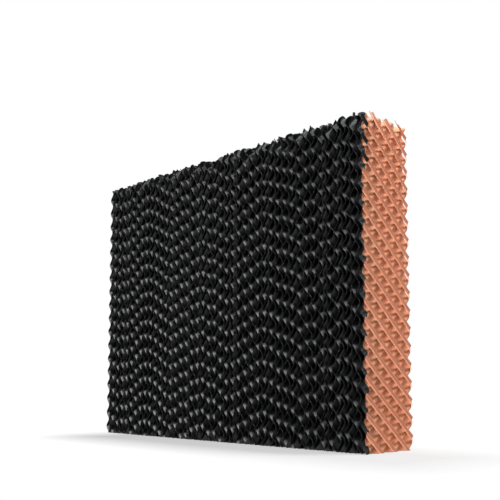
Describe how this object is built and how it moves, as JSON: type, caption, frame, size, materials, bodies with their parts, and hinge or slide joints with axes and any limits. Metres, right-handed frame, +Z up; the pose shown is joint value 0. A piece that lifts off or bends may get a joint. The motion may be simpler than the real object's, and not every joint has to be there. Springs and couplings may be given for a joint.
{
  "type": "evaporative cooling pad",
  "caption": "Upright block of corrugated paper sheets glued with crossing flutes, black-coated on the air face, for wetting and cooling air drawn through it.",
  "frame": {"origin": "middle of the pad's bottom, on the surface it stands on", "axes": "+X along the stack of sheets to the side with the sawn strips, +Y from the black front face to the back, +Z up"},
  "size_m": [0.597, 0.1, 0.45],
  "materials": {
    "pad_paper": "matte"
  },
  "bodies": {
    "root": {"rising_sheets_01": "pad_paper", "rising_sheets_02": "pad_paper", "rising_sheets_03": "pad_paper", "rising_sheets_04": "pad_paper", "rising_sheets_05": "pad_paper", "rising_sheets_06": "pad_paper", "rising_sheets_07": "pad_paper", "rising_sheets_08": "pad_paper", "rising_sheets_09": "pad_paper", "rising_sheets_10": "pad_paper", "rising_sheets_11": "pad_paper", "falling_sheets_01": "pad_paper", "falling_sheets_02": "pad_paper", "falling_sheets_03": "pad_paper", "falling_sheets_04": "pad_paper", "falling_sheets_05": "pad_paper", "falling_sheets_06": "pad_paper", "falling_sheets_07": "pad_paper", "falling_sheets_08": "pad_paper", "falling_sheets_09": "pad_paper", "falling_sheets_10": "pad_paper", "falling_sheets_11": "pad_paper", "sawn_strips": "pad_paper"}
  },
  "joints": []
}
